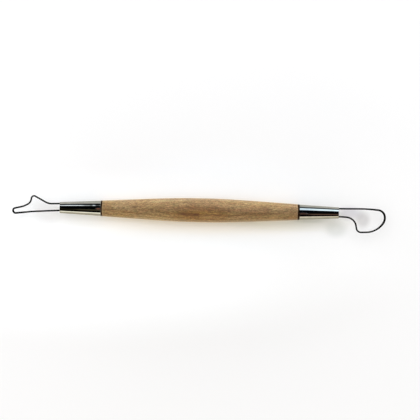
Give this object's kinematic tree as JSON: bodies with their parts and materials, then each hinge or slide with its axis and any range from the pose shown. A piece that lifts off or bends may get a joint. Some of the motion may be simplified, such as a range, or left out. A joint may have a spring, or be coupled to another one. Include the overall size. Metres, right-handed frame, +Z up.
{
  "type": "double-ended loop tool",
  "caption": "Loop tool for trimming and hollowing clay: a slim turned wooden handle with tapered metal ferrules that hold a pointed wire loop and a rounded wire loop at opposite ends.",
  "frame": {"origin": "on the bench, under the middle of the handle's belly", "axes": "+X along the handle towards the rounded loop, +Y across both loops towards the fin of the pointed loop, +Z up from the bench the tool lies on"},
  "size_m": [0.2034, 0.0173, 0.013],
  "materials": {
    "raw_wood": "sanded smooth, without varnish",
    "plated_metal": "bright nickel plating",
    "spring_steel": "drawn wire",
    "clear_glue": "hardened epoxy"
  },
  "bodies": {
    "root": {"handle": "raw_wood", "pointed_end_ferrule": "plated_metal", "rounded_end_ferrule": "plated_metal", "pointed_loop": "spring_steel", "rounded_loop": "spring_steel", "pointed_end_glue": "clear_glue", "rounded_end_glue": "clear_glue"}
  },
  "joints": []
}
